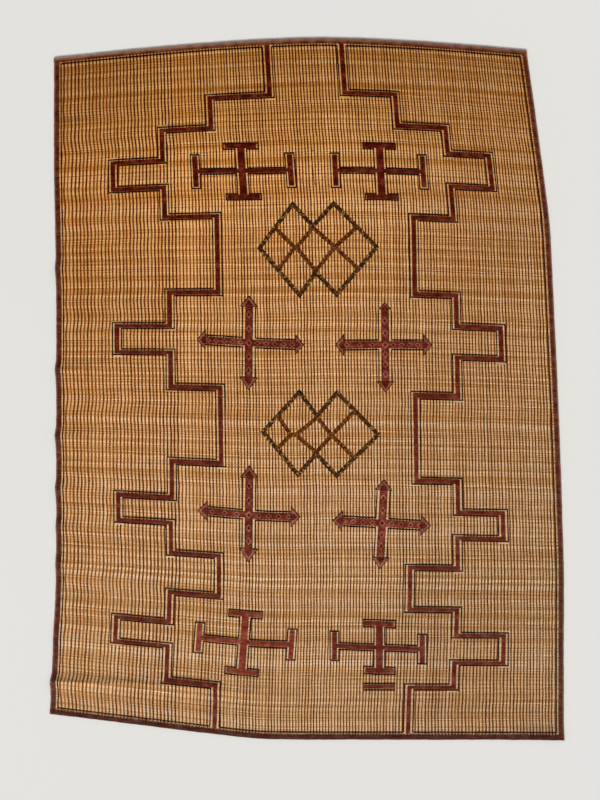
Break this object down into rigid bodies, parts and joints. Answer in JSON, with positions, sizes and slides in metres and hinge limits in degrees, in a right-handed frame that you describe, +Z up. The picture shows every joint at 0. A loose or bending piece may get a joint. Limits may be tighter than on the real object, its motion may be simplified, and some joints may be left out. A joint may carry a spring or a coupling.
{
  "type": "tuareg mat",
  "caption": "Tuareg mat of reeds bound with dark leather thongs, with stepped red leather bands, crosses and lattices, lying flat with ripples at one side.",
  "frame": {"origin": "bottom centre of the bounding box: in plan the middle of the mat, at the height of the ground it lies on", "axes": "+Y along the mat's length, to the end with the straighter left corner (its head in the picture), +X to its right side, +Z up from the ground"},
  "size_m": [2.1417, 2.9219, 0.024],
  "materials": {
    "reeds": "split reeds bound with dark leather thongs, dry and slightly glossy",
    "binding_leather": "dark red-brown leather, worn lighter on its outer fold",
    "red_leather": "deep oxblood leather, faded in parts",
    "dark_thong": "plaited green-black leather",
    "brown_thong": "plaited red-brown leather"
  },
  "bodies": {
    "root": {"reed_field": "reeds", "binding_left": "binding_leather", "binding_right": "binding_leather", "binding_head": "binding_leather", "binding_foot": "binding_leather", "band_left": "red_leather", "band_right": "red_leather", "tee_head_left": "red_leather", "tee_head_right": "red_leather", "tee_foot_left": "red_leather", "tee_foot_right": "red_leather", "arrow_head_left": "red_leather", "arrow_head_right": "red_leather", "arrow_foot_left": "red_leather", "arrow_foot_right": "red_leather", "dash_foot_right": "red_leather", "lattice_head_rim": "dark_thong", "lattice_head_bars": "brown_thong", "lattice_foot_rim": "dark_thong", "lattice_foot_bars": "brown_thong"}
  },
  "joints": []
}
